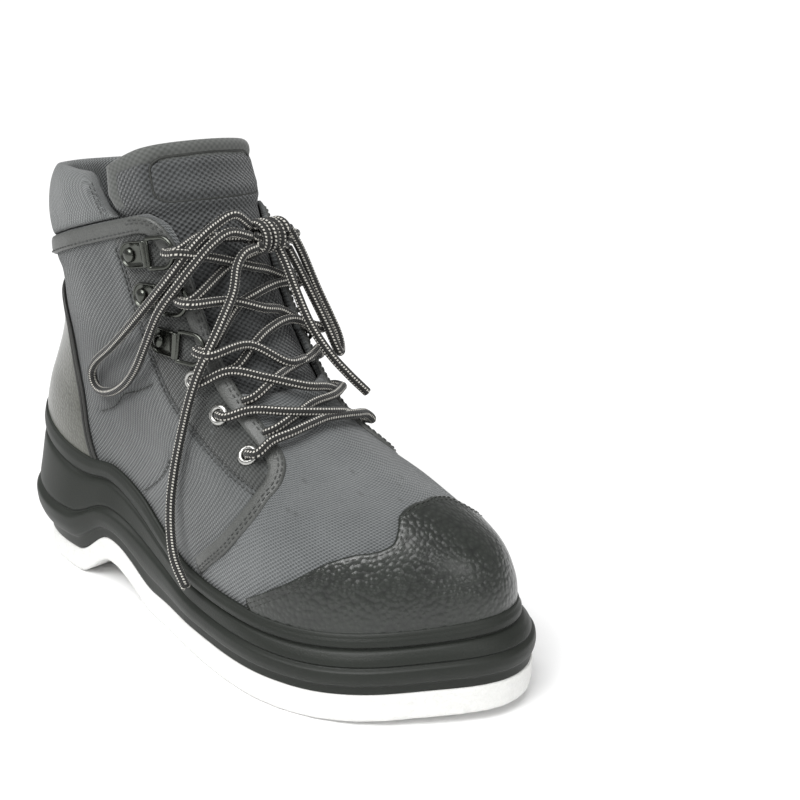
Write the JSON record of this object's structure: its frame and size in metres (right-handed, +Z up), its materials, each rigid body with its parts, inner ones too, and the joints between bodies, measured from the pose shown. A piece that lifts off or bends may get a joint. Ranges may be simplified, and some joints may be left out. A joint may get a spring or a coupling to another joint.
{
  "type": "wading boot",
  "caption": "Felt-soled wading boot for the right foot, ankle high, with a stepped rubber midsole, leather toe cap, padded collar and tied lace.",
  "frame": {"origin": "middle of the heel's flat tread, on the floor", "axes": "+X from heel to toe, +Y to the inner side of the foot, +Z up"},
  "size_m": [0.3232, 0.1303, 0.2346],
  "materials": {
    "felt": "dense pressed felt, matt",
    "rubber": "matt moulded rubber",
    "board": "flat lining board",
    "upper_fabric": "heavy woven fabric, matt",
    "leather": "pebbled synthetic leather, satin",
    "binding": "smooth grained binding, stitched",
    "padding": "padded woven fabric",
    "tongue_fabric": "coarse padded mesh",
    "nickel": "polished eyelets",
    "gunmetal": "dark plated steel",
    "lace": "round braid, dark with light flecks"
  },
  "bodies": {
    "root": {"outsole_felt": "felt", "midsole": "rubber", "insole": "board", "upper": "upper_fabric", "toe_cap": "leather", "heel_counter": "leather", "quarter_binding_outer": "binding", "quarter_binding_inner": "binding", "collar_binding": "binding", "collar_pad": "padding", "tongue": "tongue_fabric", "eyelet_outer_1": "nickel", "eyelet_outer_2": "nickel", "eyelet_outer_3": "nickel", "ring_plate_outer_1": "gunmetal", "lace_ring_outer_1": "gunmetal", "ring_plate_outer_2": "gunmetal", "lace_ring_outer_2": "gunmetal", "ring_plate_outer_3": "gunmetal", "lace_ring_outer_3": "gunmetal", "eyelet_inner_1": "nickel", "eyelet_inner_2": "nickel", "eyelet_inner_3": "nickel", "ring_plate_inner_1": "gunmetal", "lace_ring_inner_1": "gunmetal", "ring_plate_inner_2": "gunmetal", "lace_ring_inner_2": "gunmetal", "ring_plate_inner_3": "gunmetal", "lace_ring_inner_3": "gunmetal", "lace_crossings": "lace", "lace_knot": "lace", "lace_loop_outer": "lace", "lace_end_outer": "lace", "lace_loop_inner": "lace", "lace_end_inner": "lace"}
  },
  "joints": []
}
